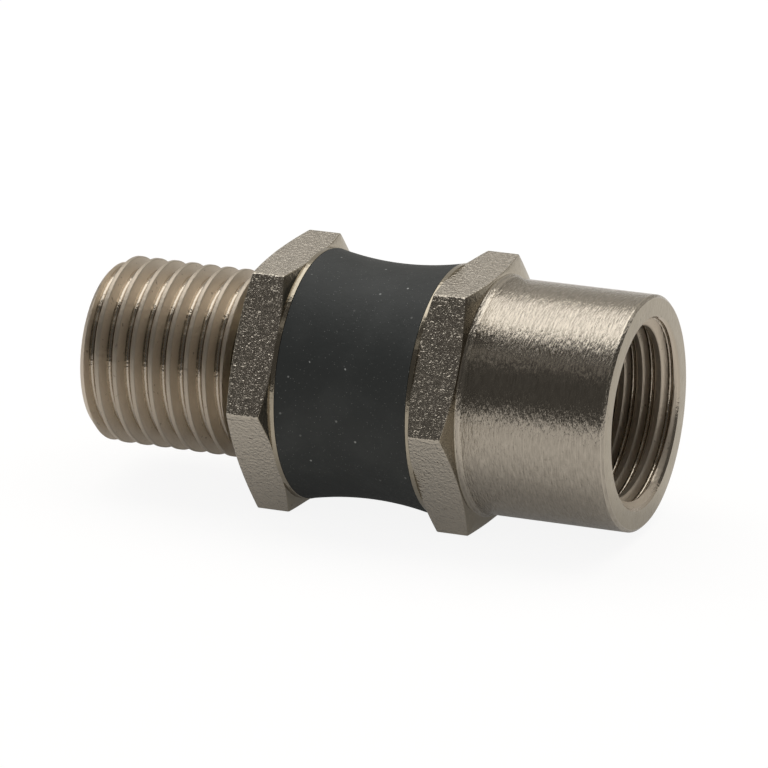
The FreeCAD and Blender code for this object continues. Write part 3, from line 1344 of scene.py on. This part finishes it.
class WeaveGroup(EffectGroup):
    """Square weave of cord, wrapped round the axis."""

    name = "weave"
    inputs = (("Cords", "NodeSocketFloat", 90.0), ("Pitch", "NodeSocketFloat", 0.00045))
    outputs = (("Mask", "NodeSocketFloat"), ("Height", "NodeSocketFloat"))

    def draw(self, kit: NodeKit, given: object, made: object) -> None:
        """Draws crossing waves along and round the axis.

        Args:
            kit: Calls for this group's tree.
            given: The group's input values.
            made: The group's output sockets.
        """
        place = kit.add("ShaderNodeTexCoord")
        split = kit.add("ShaderNodeSeparateXYZ")
        kit.join(place.outputs["Object"], split.inputs[0])
        around = kit.work("ARCTAN2", split.outputs["Z"], split.outputs["Y"])
        one = kit.work("SINE", kit.work("MULTIPLY", around, given["Cords"]))
        along = kit.work("DIVIDE", split.outputs["X"], given["Pitch"])
        other = kit.work("SINE", kit.work("MULTIPLY", along, 2 * math.pi))
        crossed = kit.work("MULTIPLY", one, other)
        mask = kit.work("MULTIPLY_ADD", crossed, 0.5)
        mask.node.inputs[2].default_value = 0.5
        kit.join(mask, made["Mask"])
        kit.join(mask, made["Height"])


class DustGroup(EffectGroup):
    """Scattered pale dust specks."""

    name = "dust"
    inputs = (("Density", "NodeSocketFloat", 1800.0), ("Amount", "NodeSocketFloat", 0.5))
    outputs = (("Mask", "NodeSocketFloat"),)

    def draw(self, kit: NodeKit, given: object, made: object) -> None:
        """Draws round spots in random cells, few of them filled.

        Args:
            kit: Calls for this group's tree.
            given: The group's input values.
            made: The group's output sockets.
        """
        place = kit.add("ShaderNodeTexCoord")
        cells = kit.add("ShaderNodeTexVoronoi", voronoi_dimensions="3D", feature="F1")
        kit.join(place.outputs["Object"], cells.inputs["Vector"])
        kit.join(given["Density"], cells.inputs["Scale"])
        spot = kit.ramp(cells.outputs["Distance"], 0.1, 0.26, 1.0, 0.0)
        split = kit.add("ShaderNodeSeparateColor")
        kit.join(cells.outputs["Color"], split.inputs[0])
        chosen = kit.work("LESS_THAN", split.outputs[0], given["Amount"])
        strength = kit.work("MULTIPLY", spot, chosen)
        kit.join(kit.work("MULTIPLY", strength, split.outputs[1]), made["Mask"])


@dataclass(frozen=True)
class Effects:
    """The shared effects, built once."""

    specks: SpeckGroup
    marks: ToolMarkGroup
    weave: WeaveGroup
    dust: DustGroup


@dataclass(frozen=True)
class MetalFinish:
    """Plated metal of one kind of surface.

    Attributes:
        name: The material's name.
        base: Main colour.
        dark: Colour of pits and marks, and of the painted shade in grooves and on thread crests.
        roughness: Roughness of plain faces and of the bottom of grooves.
        band_roughness: Roughness on thread crests and flanks.
        crest_painted_shade: Strength of the painted shade that darkens thread crests.
        grain_density: Grains for each metre.
        grain_bump: Height of the grain in metres.
        pit_density: Pits for each metre.
        pit_threshold: Noise level above which a pit starts.
        pit_share: How strongly pits darken.
        mark_along: Tool marks for each metre along the axis.
        mark_around: How fast marks change round the axis, for each metre.
        mark_share: How strongly marks darken.
        mark_bump: Height of the mark relief in metres.
        groove_painted_shade: Strength of the painted shade that darkens grooves towards their bottom.
    """

    name: str
    base: Colour
    dark: Colour
    roughness: float
    band_roughness: float = 0.0
    crest_painted_shade: float = 0.0
    grain_density: float = 3500.0
    grain_bump: float = 0.0
    pit_density: float = 2600.0
    pit_threshold: float = 0.7
    pit_share: float = 0.5
    mark_along: float = 9000.0
    mark_around: float = 900.0
    mark_share: float = 0.0
    mark_bump: float = 0.0
    groove_painted_shade: float = 0.0

    def make(self, effects: Effects) -> bpy.types.Material:
        """Builds the material.

        Args:
            effects: The shared effects.

        Returns:
            The material.
        """
        material = bpy.data.materials.new(self.name)
        material.use_nodes = True
        kit = NodeKit(material.node_tree)
        shader = material.node_tree.nodes["Principled BSDF"]
        grain = effects.specks.place(kit, Density=self.grain_density, Threshold=0.5, Softness=0.2)
        pits = effects.specks.place(
            kit, Density=self.pit_density, Threshold=self.pit_threshold, Softness=0.06
        )
        marks = effects.marks.place(
            kit, Along=self.mark_along, Around=self.mark_around, Contrast=2.2
        )
        edge = kit.add("ShaderNodeAttribute", attribute_name="edge").outputs["Fac"]
        cavity = kit.add("ShaderNodeAttribute", attribute_name="cavity").outputs["Fac"]
        pit = kit.work("MULTIPLY", pits.outputs["Mask"], self.pit_share)
        mark = kit.work("MULTIPLY", marks.outputs["Mask"], self.mark_share)
        # Painted shade: grooves darken towards their bottom, mixed towards the dark colour.
        groove = kit.work("MULTIPLY", kit.ramp(cavity, 0.55, 1.0, 0.0, 1.0), self.groove_painted_shade)
        worn = kit.work("MULTIPLY", edge, 0.6)
        # Painted shade: the thread's crests darken, mixed towards the dark colour.
        crest = kit.ramp(cavity, 0.02, 0.14, self.crest_painted_shade, 0.0)
        # Pits and tool marks are the metal's own; the groove and crest darkening is painted shade.
        marks_and_shade = kit.work("MAXIMUM", kit.work("MAXIMUM", pit, mark), kit.work("MAXIMUM", groove, crest))
        darkening = kit.work("SUBTRACT", marks_and_shade, worn, clamp=True)
        kit.join(kit.mix(darkening, self.base, self.dark), shader.inputs["Base Color"])
        band = kit.ramp(cavity, 0.72, 0.9, self.band_roughness, 0.0)
        plain = kit.ramp(marks.outputs["Mask"], 0.0, 1.0, self.roughness * 0.85, self.roughness * 1.2)
        kit.join(kit.work("MAXIMUM", band, plain), shader.inputs["Roughness"])
        shader.inputs["Metallic"].default_value = 1.0
        last = None
        for height, depth in (
            (grain.outputs["Height"], self.grain_bump),
            (marks.outputs["Height"], self.mark_bump),
        ):
            if depth <= 0:
                continue
            bump = kit.add("ShaderNodeBump")
            bump.inputs["Strength"].default_value = 1.0
            bump.inputs["Distance"].default_value = depth
            kit.join(height, bump.inputs["Height"])
            if last is not None:
                kit.join(last, bump.inputs["Normal"])
            last = bump.outputs["Normal"]
        if last is not None:
            kit.join(last, shader.inputs["Normal"])
        return material


@dataclass(frozen=True)
class RubberFinish:
    """Matt moulded rubber.

    Attributes:
        name: The material's name.
        base: Main colour.
        dusty: Colour of the dust.
        roughness: Surface roughness.
        dust_amount: Share of cells that hold a speck.
        bump: Height of the skin's relief in metres.
    """

    name: str
    base: Colour
    dusty: Colour
    roughness: float
    dust_amount: float
    bump: float

    def make(self, effects: Effects) -> bpy.types.Material:
        """Builds the material.

        Args:
            effects: The shared effects.

        Returns:
            The material.
        """
        material = bpy.data.materials.new(self.name)
        material.use_nodes = True
        kit = NodeKit(material.node_tree)
        shader = material.node_tree.nodes["Principled BSDF"]
        skin = effects.specks.place(kit, Density=2600.0, Threshold=0.5, Softness=0.5)
        motes = effects.dust.place(kit, Density=7000.0, Amount=self.dust_amount * 1.6)
        lint = effects.dust.place(kit, Density=2300.0, Amount=self.dust_amount * 0.3)
        faint = kit.work("MULTIPLY", motes.outputs["Mask"], 0.4)
        cloud = kit.stretched_noise((420.0, 420.0, 420.0), 2.0)
        pale = kit.ramp(cloud, 0.4, 0.75, 0.0, 0.022)
        share = kit.work("MAXIMUM", kit.work("MAXIMUM", lint.outputs["Mask"], faint), pale)
        kit.join(kit.mix(share, self.base, self.dusty), shader.inputs["Base Color"])
        shader.inputs["Roughness"].default_value = self.roughness
        shader.inputs["Specular IOR Level"].default_value = 0.35
        bump = kit.add("ShaderNodeBump")
        bump.inputs["Strength"].default_value = 1.0
        bump.inputs["Distance"].default_value = self.bump
        kit.join(skin.outputs["Height"], bump.inputs["Height"])
        kit.join(bump.outputs["Normal"], shader.inputs["Normal"])
        return material


@dataclass(frozen=True)
class FabricFinish:
    """Rubberised woven cord.

    Attributes:
        name: The material's name.
        cord: Colour of the cord.
        gap: Colour between cords.
        cords: Cords round the tube.
        roughness: Surface roughness.
    """

    name: str
    cord: Colour
    gap: Colour
    cords: float
    roughness: float = 0.8

    def make(self, effects: Effects) -> bpy.types.Material:
        """Builds the material.

        Args:
            effects: The shared effects.

        Returns:
            The material.
        """
        material = bpy.data.materials.new(self.name)
        material.use_nodes = True
        kit = NodeKit(material.node_tree)
        shader = material.node_tree.nodes["Principled BSDF"]
        weave = effects.weave.place(kit, Cords=self.cords, Pitch=0.00045)
        kit.join(kit.mix(weave.outputs["Mask"], self.gap, self.cord), shader.inputs["Base Color"])
        shader.inputs["Roughness"].default_value = self.roughness
        bump = kit.add("ShaderNodeBump")
        bump.inputs["Distance"].default_value = 0.00005
        kit.join(weave.outputs["Height"], bump.inputs["Height"])
        kit.join(bump.outputs["Normal"], shader.inputs["Normal"])
        return material


NICKEL: Colour = (0.46, 0.42, 0.36, 1.0)
# Colour of pits and marks, also used for the painted shade in thread grooves and on crests.
NICKEL_DARK: Colour = (0.07, 0.055, 0.04, 1.0)

METAL_FINISHES = {
    Zone.TURNED: MetalFinish(
        "nickel_turned",
        NICKEL,
        NICKEL_DARK,
        0.14,
        grain_density=2400.0,
        grain_bump=0.000008,
        pit_share=0.4,
        mark_along=8500.0,
        mark_around=1500.0,
        mark_share=0.4,
        mark_bump=0.00008,
    ),
    Zone.FLAT: MetalFinish(
        "nickel_bar_flat",
        NICKEL,
        NICKEL_DARK,
        0.16,
        grain_density=4600.0,
        grain_bump=0.000125,
        pit_share=0.4,
    ),
    # Painted shade: the chamfers carry a darker copy of the nickel colour.
    Zone.CONE: MetalFinish(
        "nickel_chamfer_shaded",
        (0.38, 0.34, 0.27, 1.0),
        NICKEL_DARK,
        0.16,
        grain_density=3200.0,
        grain_bump=0.00002,
        mark_share=0.15,
        mark_bump=0.000008,
    ),
    # Painted light: the thread carries a lighter copy of the nickel colour, with painted shade in its
    # grooves and on its crests.
    Zone.THREAD: MetalFinish(
        "nickel_thread_lit_shaded",
        (0.62, 0.55, 0.46, 1.0),
        NICKEL_DARK,
        0.16,
        band_roughness=0.48,
        crest_painted_shade=0.3,
        grain_density=3600.0,
        grain_bump=0.00003,
        mark_share=0.1,
        mark_bump=0.000006,
        groove_painted_shade=0.3,
    ),
    # Painted shade: the bore carries a darker copy of the nickel colour.
    Zone.BORE: MetalFinish(
        "nickel_bore_shaded",
        (0.42, 0.37, 0.31, 1.0),
        NICKEL_DARK,
        0.35,
        mark_share=0.3,
        mark_bump=0.000006,
    ),
}

COVER_RUBBER = RubberFinish(
    "cover_rubber", (0.0235, 0.0265, 0.026, 1.0), (0.34, 0.35, 0.34, 1.0), 0.62, 0.22, 0.00002
)
LINER_RUBBER = RubberFinish(
    "liner_rubber", (0.025, 0.026, 0.026, 1.0), (0.12, 0.12, 0.12, 1.0), 0.5, 0.0, 0.000008
)
INNER_FABRIC = FabricFinish("inner_fabric", (0.62, 0.58, 0.48, 1.0), (0.10, 0.09, 0.08, 1.0), 44.0)
OUTER_FABRIC = FabricFinish("outer_fabric", (0.60, 0.56, 0.47, 1.0), (0.10, 0.09, 0.08, 1.0), 46.0)
WIRE = MetalFinish("bead_wire", (0.55, 0.55, 0.56, 1.0), (0.2, 0.2, 0.2, 1.0), 0.32)


@dataclass(frozen=True)
class Card:
    """A long curved card beside the set, seen only in reflections.

    Attributes:
        name: The object's name.
        low: Lower edge, as an angle from +Y up over the object, in degrees.
        high: Upper edge, in the same way.
        colour: Its colour.
        strength: Its brightness, where 1 is white.
        reach: Distance from the object in metres.
        half_length: Reach to each side along X in metres.
    """

    name: str
    low: float
    high: float
    colour: Colour
    strength: float
    reach: float = 0.9
    half_length: float = 1.6

    def build(self) -> bpy.types.Object:
        """Builds the card.

        Returns:
            The object, already staged.
        """
        verts, faces = self.shape()
        mesh = bpy.data.meshes.new(self.name)
        mesh.from_pydata(verts, [], faces)
        card = bpy.data.objects.new(self.name, mesh)
        bpy.context.scene.collection.objects.link(card)
        material = bpy.data.materials.new(self.name)
        material.use_nodes = True
        kit = NodeKit(material.node_tree)
        material.node_tree.nodes.clear()
        glow = kit.add("ShaderNodeEmission")
        glow.inputs["Color"].default_value = self.colour
        glow.inputs["Strength"].default_value = self.strength
        out = kit.add("ShaderNodeOutputMaterial")
        kit.join(glow.outputs[0], out.inputs["Surface"])
        mesh.materials.append(material)
        card.visible_camera = False
        card.visible_diffuse = False
        card.visible_shadow = False
        return card

    def shape(self) -> tuple[list[tuple[float, float, float]], list[tuple[int, ...]]]:
        """Works out the card's points and faces.

        Returns:
            The points in metres, and the faces.
        """
        turn = np.radians(np.linspace(self.low, self.high, 24))
        verts = [
            (side * self.half_length, self.reach * math.cos(a), self.reach * math.sin(a))
            for a in turn
            for side in (-1, 1)
        ]
        faces = [(2 * k, 2 * k + 1, 2 * k + 3, 2 * k + 2) for k in range(len(turn) - 1)]
        return verts, faces


@dataclass(frozen=True)
class EndCard(Card):
    """A half disc that closes one end of the long cards, where half_length is its place along X."""

    def shape(self) -> tuple[list[tuple[float, float, float]], list[tuple[int, ...]]]:
        """Works out the half disc.

        Returns:
            The points in metres, and the one face.
        """
        turn = np.radians(np.linspace(self.low, self.high, 24))
        reach = self.reach
        verts = [(self.half_length, reach * math.cos(a), reach * math.sin(a)) for a in turn]
        return verts, [tuple(range(len(verts)))]


@dataclass(frozen=True)
class Studio:
    """Floor, world, lamp and reflection cards of the product photograph.

    Attributes:
        floor_level: Height of the floor in metres.
        floor_size: Side of the square floor in metres.
        ambient: Brightness of the world for the object's own light.
        floor_paint: Colour of the floor where light falls on it.
        floor_glow: Brightness of the floor's own white, where 1 is white.
        seen_share: How much of that white the camera sees.
        mirrored_share: How much of that white the metal mirrors.
    """

    floor_level: float
    floor_size: float = 8.0
    ambient: float = 0.55
    floor_paint: Colour = (0.74, 0.715, 0.68, 1.0)
    floor_glow: float = 1.05
    seen_share: float = 0.85
    mirrored_share: float = 0.15

    def build(self) -> None:
        """Builds everything that isn't the object."""
        self.build_floor()
        self.build_world()
        self.build_lamp(angle=72.0, wide=0.42, long=1.2, reach=0.52, shift=-0.25, power=3.1)
        self.cards()

    def cards(self) -> None:
        """Builds the cards that the metal mirrors."""
        dim: Colour = (1.0, 0.96, 0.9, 1.0)
        warm: Colour = (1.0, 0.955, 0.88, 1.0)
        Card("room_shell", 0.0, 179.3, dim, 0.10, reach=1.0).build()
        EndCard("male_side_wall", 0.0, 180.0, dim, 0.12, reach=1.0, half_length=-1.6).build()
        EndCard("female_side_wall", 0.0, 180.0, dim, 0.12, reach=1.0, half_length=1.6).build()
        Card("back_card", 0.0, 56.0, warm, 0.54, half_length=0.8).build()
        Card("front_strip", 116.0, 124.0, warm, 0.42, half_length=0.8).build()

    def build_floor(self) -> bpy.types.Object:
        """Builds the white floor, which keeps a soft part of the shadow.

        Returns:
            The floor.
        """
        half = self.floor_size / 2
        mesh = bpy.data.meshes.new("floor")
        corners = [(-half, -half, 0), (half, -half, 0), (half, half, 0), (-half, half, 0)]
        mesh.from_pydata(corners, [], [(0, 1, 2, 3)])
        floor = bpy.data.objects.new("floor", mesh)
        floor.location.z = self.floor_level
        bpy.context.scene.collection.objects.link(floor)
        material = bpy.data.materials.new("floor")
        material.use_nodes = True
        kit = NodeKit(material.node_tree)
        material.node_tree.nodes.clear()
        paint = kit.add("ShaderNodeBsdfDiffuse")
        paint.inputs["Color"].default_value = self.floor_paint
        glow = kit.add("ShaderNodeEmission")
        glow.inputs["Strength"].default_value = self.floor_glow
        rays = kit.add("ShaderNodeLightPath")
        mirrored = kit.work(
            "MAXIMUM", rays.outputs["Is Glossy Ray"], rays.outputs["Is Transmission Ray"]
        )
        share = kit.work(
            "MAXIMUM",
            kit.work("MULTIPLY", rays.outputs["Is Camera Ray"], self.seen_share),
            kit.work("MULTIPLY", mirrored, self.mirrored_share),
        )
        both = kit.add("ShaderNodeMixShader")
        kit.join(share, both.inputs[0])
        kit.join(paint.outputs[0], both.inputs[1])
        kit.join(glow.outputs[0], both.inputs[2])
        out = kit.add("ShaderNodeOutputMaterial")
        kit.join(both.outputs[0], out.inputs["Surface"])
        mesh.materials.append(material)
        return floor

    def build_world(self) -> None:
        """Sets the world: white where it is seen or mirrored, soft grey as light."""
        world = bpy.data.worlds.new("studio")
        bpy.context.scene.world = world
        world.use_nodes = True
        kit = NodeKit(world.node_tree)
        background = world.node_tree.nodes["Background"]
        rays = kit.add("ShaderNodeLightPath")
        seen = kit.work("MAXIMUM", rays.outputs["Is Camera Ray"], rays.outputs["Is Glossy Ray"])
        seen = kit.work("MAXIMUM", seen, rays.outputs["Is Transmission Ray"])
        grey = (self.ambient, self.ambient, self.ambient, 1.0)
        kit.join(kit.mix(seen, grey, (1.0, 1.0, 1.0, 1.0)), background.inputs["Color"])

    def build_lamp(
        self, angle: float, wide: float, long: float, reach: float, shift: float, power: float
    ) -> None:
        """Builds the soft rectangular lamp over the object.

        Args:
            angle: Its direction from +Y up over the object, in degrees.
            wide: Its size across the flow axis in metres.
            long: Its size along the flow axis in metres.
            reach: Its distance from the flow axis in metres.
            shift: Its place along the flow axis in metres.
            power: Its power in watts.
        """
        data = bpy.data.lights.new("overhead_box", "AREA")
        data.shape = "RECTANGLE"
        data.size = long
        data.size_y = wide
        data.energy = power
        data.color = (1.0, 0.985, 0.955)
        lamp = bpy.data.objects.new("overhead_box", data)
        turn = math.radians(angle)
        place = Vector((shift, reach * math.cos(turn), reach * math.sin(turn)))
        lamp.location = place
        lamp.rotation_euler = Vector((0, place.y, place.z)).to_track_quat("Z", "Y").to_euler()
        bpy.context.scene.collection.objects.link(lamp)


@dataclass(frozen=True)
class CameraPose:
    """The photograph's camera.

    Attributes:
        azimuth: Turn round Z from looking along +Y, in degrees.
        elevation: Height above the horizon, in degrees.
        roll: Turn about the line of sight, in degrees.
        distance: Distance to the target in millimetres.
        lens: Focal length in millimetres, on a sensor 36 mm wide.
        target: Point at the middle of the picture, in millimetres.
    """

    azimuth: float = 22.911
    elevation: float = 19.768
    roll: float = -0.909
    distance: float = 444.753
    lens: float = 306.06
    target: tuple[float, float, float] = (0.546, 0.0, -0.231)

    def build(self) -> bpy.types.Object:
        """Builds the camera and makes it the scene's own.

        Returns:
            The camera.
        """
        turn, lift, roll = map(math.radians, (self.azimuth, self.elevation, self.roll))
        right = Vector((math.cos(turn), math.sin(turn), 0.0))
        back = Vector(
            (math.sin(turn) * math.cos(lift), -math.cos(turn) * math.cos(lift), math.sin(lift))
        )
        up = back.cross(right)
        side = right * math.cos(roll) + up * math.sin(roll)
        head = up * math.cos(roll) - right * math.sin(roll)
        data = bpy.data.cameras.new("photo_camera")
        data.sensor_width = 36.0
        data.lens = self.lens
        data.clip_start = 0.01
        camera = bpy.data.objects.new("photo_camera", data)
        bpy.context.scene.collection.objects.link(camera)
        place = (Vector(self.target) + back * self.distance) * MM
        rows = [[side[k], head[k], back[k], place[k]] for k in range(3)] + [[0, 0, 0, 1]]
        camera.matrix_world = type(camera.matrix_world)(rows)
        bpy.context.scene.camera = camera
        return camera


HEX_SIZES = {
    "flat": 8.5,
    "blank": 9.79,
    "face_circle": 8.4,
    "rubber_chamfer": 0.35,
    "rubber_circle": 8.75,
    "collar": 8.65,
}


def build_metal(effects: Effects) -> None:
    """Builds both end fittings and both wire rings.

    Args:
        effects: The shared effects.
    """
    metals = [METAL_FINISHES[zone].make(effects) for zone in Zone]
    ends = [
        MaleEnd(
            "male_end_fitting",
            Body.MALE_END,
            HexSizes(face_chamfer=0.34, **HEX_SIZES),
            thread=ThreadForm(start=0.028, major_radius=6.5),
        ),
        FemaleEnd(
            "female_end_fitting",
            Body.FEMALE_END,
            HexSizes(face_chamfer=0.46, **HEX_SIZES),
            thread=ThreadForm(start=0.25),
        ),
    ]
    for end in ends:
        end.dress(end.build(metals))
    wire = WIRE.make(effects)
    rings = [
        BeadRing("male_bead_ring", Body.MALE_END, MALE_RING_BOX),
        BeadRing("female_bead_ring", Body.BEAD, FEMALE_RING_BOX),
    ]
    for ring in rings:
        ring.dress(ring.build(wire))


def build_rubber(effects: Effects) -> None:
    """Builds the four layers of the moulded body, stretch by stretch.

    Args:
        effects: The shared effects.
    """
    spigot = SpigotSizes()
    ply_inner = INNER_PLY_BOX[1].z
    ply_outer = OUTER_PLY_BOX[1].z
    liner_skin = LINER_BOX[1].z
    waist = COVER_BOX[1].z - WAIST_DEPTH
    layers = [
        (
            RubberLayer(
                "rubber_cover",
                Slot.COVER,
                COVER_BOX[0].x,
                COVER_BOX[1].x,
                waisted_side(COVER_BOX[1].z, waist),
                cover_inside(ply_outer + BOND_GAP),
            ),
            COVER_RUBBER.make(effects),
        ),
        (
            RubberLayer(
                "outer_fabric_ply",
                Slot.FABRIC,
                OUTER_PLY_BOX[0].x,
                OUTER_PLY_BOX[1].x,
                straight(ply_outer),
                straight(ply_inner + BOND_GAP),
            ),
            OUTER_FABRIC.make(effects),
        ),
        (
            RubberLayer(
                "inner_fabric_ply",
                Slot.FABRIC,
                INNER_PLY_BOX[0].x,
                INNER_PLY_BOX[1].x,
                straight(ply_inner),
                straight(liner_skin + BOND_GAP),
            ),
            INNER_FABRIC.make(effects),
        ),
        (
            RubberLayer(
                "rubber_liner",
                Slot.LINER,
                LINER_BOX[0].x,
                LINER_BOX[1].x,
                straight(liner_skin),
                liner_inside(spigot.bore, spigot.stem + BOND_GAP, spigot.lip + BOND_GAP),
            ),
            LINER_RUBBER.make(effects),
        ),
    ]
    for layer, material in layers:
        for span in SPANS:
            piece = layer.build(span, material)
            if piece is not None:
                layer.dress(piece, span)


def main() -> None:
    """Builds the object, the studio and the camera."""
    effects = Effects(SpeckGroup(), ToolMarkGroup(), WeaveGroup(), DustGroup())
    build_metal(effects)
    build_rubber(effects)
    Studio(floor_level=MALE_BOX[0].z * MM).build()
    CameraPose().build()
    bpy.context.scene.view_settings.view_transform = "Standard"


if __name__ == "__main__":
    main()
